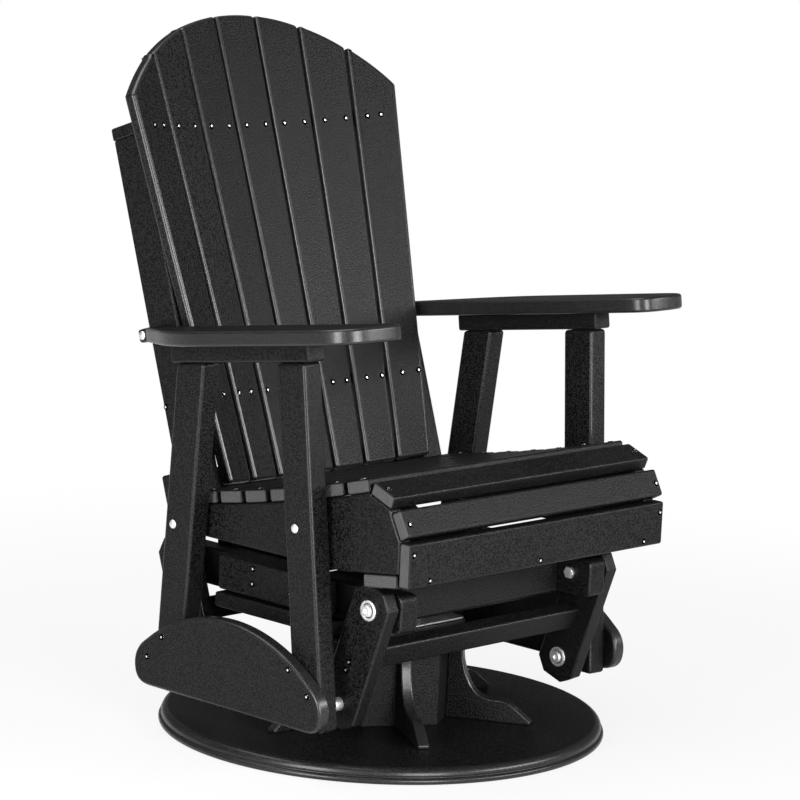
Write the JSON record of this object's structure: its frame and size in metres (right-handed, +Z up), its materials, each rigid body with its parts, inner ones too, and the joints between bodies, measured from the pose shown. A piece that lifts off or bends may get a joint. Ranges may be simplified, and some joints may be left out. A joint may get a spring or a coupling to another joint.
{
  "type": "adirondack swivel glider",
  "caption": "Fan-back slatted armchair that glides on swing arms and turns on a round pedestal base.",
  "frame": {"origin": "centre of the round base's underside, on the floor", "axes": "+Z up, the sitter faces -Y, the sitter's left side is +X"},
  "size_m": [0.828, 0.8164, 1.1635],
  "materials": {
    "board": "satin, faint grain",
    "steel": "satin"
  },
  "bodies": {
    "base": {"base_disc": "board", "pedestal_column": "board", "gusset_1": "board", "gusset_2": "board", "gusset_3": "board", "gusset_4": "board", "gusset_5": "board", "gusset_6": "board", "pedestal_top": "board", "swivel_lower_plate": "steel"},
    "turntable": {"swivel_upper_plate": "steel", "turntable_platform": "board", "rail_right": "board", "side_plate_right": "board", "rail_left": "board", "side_plate_left": "board", "cross_beam_front": "board", "cross_beam_rear": "board"},
    "front_swing": {"swing_arm_front_right": "board", "swing_arm_front_left": "board", "stretcher_front": "board"},
    "rear_swing": {"swing_arm_rear_right": "board", "swing_arm_rear_left": "board", "stretcher_rear": "board"},
    "seat_frame": {"leg_front_right": "board", "leg_rear_right": "board", "leg_front_left": "board", "leg_rear_left": "board", "skirt_right": "board", "skirt_left": "board", "seat_slat_1": "board", "seat_slat_2": "board", "seat_slat_3": "board", "seat_slat_4": "board", "seat_slat_5": "board", "seat_slat_6": "board", "seat_slat_7": "board", "seat_slat_8": "board", "seat_slat_9": "board", "apron": "board", "seat_side_right": "board", "seat_side_left": "board", "seat_cross_board": "board", "armrest_right": "board", "armrest_cleat_right": "board", "armrest_left": "board", "armrest_cleat_left": "board", "back_slat_1": "board", "back_slat_2": "board", "back_slat_3": "board", "back_slat_4": "board", "back_slat_5": "board", "back_slat_6": "board", "back_slat_7": "board", "back_support_upper": "board", "back_support_lower": "board", "back_stile_right": "board", "back_stile_left": "board", "arm_bar": "board", "foot_bar": "board"}
  },
  "joints": [
    {"name": "swivel", "type": "hinge", "parent": "base", "child": "turntable", "pos_m": [0, 0, 0.202], "axis": [0, 0, 1], "continuous": true},
    {"name": "front_swing_pivot", "type": "hinge", "parent": "turntable", "child": "front_swing", "pos_m": [0, -0.226, 0.2775], "axis": [1, 0, 0], "range_deg": [-11, 11]},
    {"name": "seat_pivot", "type": "hinge", "parent": "front_swing", "child": "seat_frame", "pos_m": [0, -0.16987, 0.11449], "axis": [1, 0, 0], "range_deg": [-15, 15]},
    {"name": "rear_swing_pivot", "type": "hinge", "parent": "turntable", "child": "rear_swing", "pos_m": [0, 0.226, 0.2775], "axis": [1, 0, 0], "range_deg": [-11.5, 11.5]}
  ],
  "couplings": [
    {"joint": "seat_pivot", "follows": "front_swing_pivot", "ratio": -1.33},
    {"joint": "rear_swing_pivot", "follows": "front_swing_pivot", "ratio": 1}
  ]
}
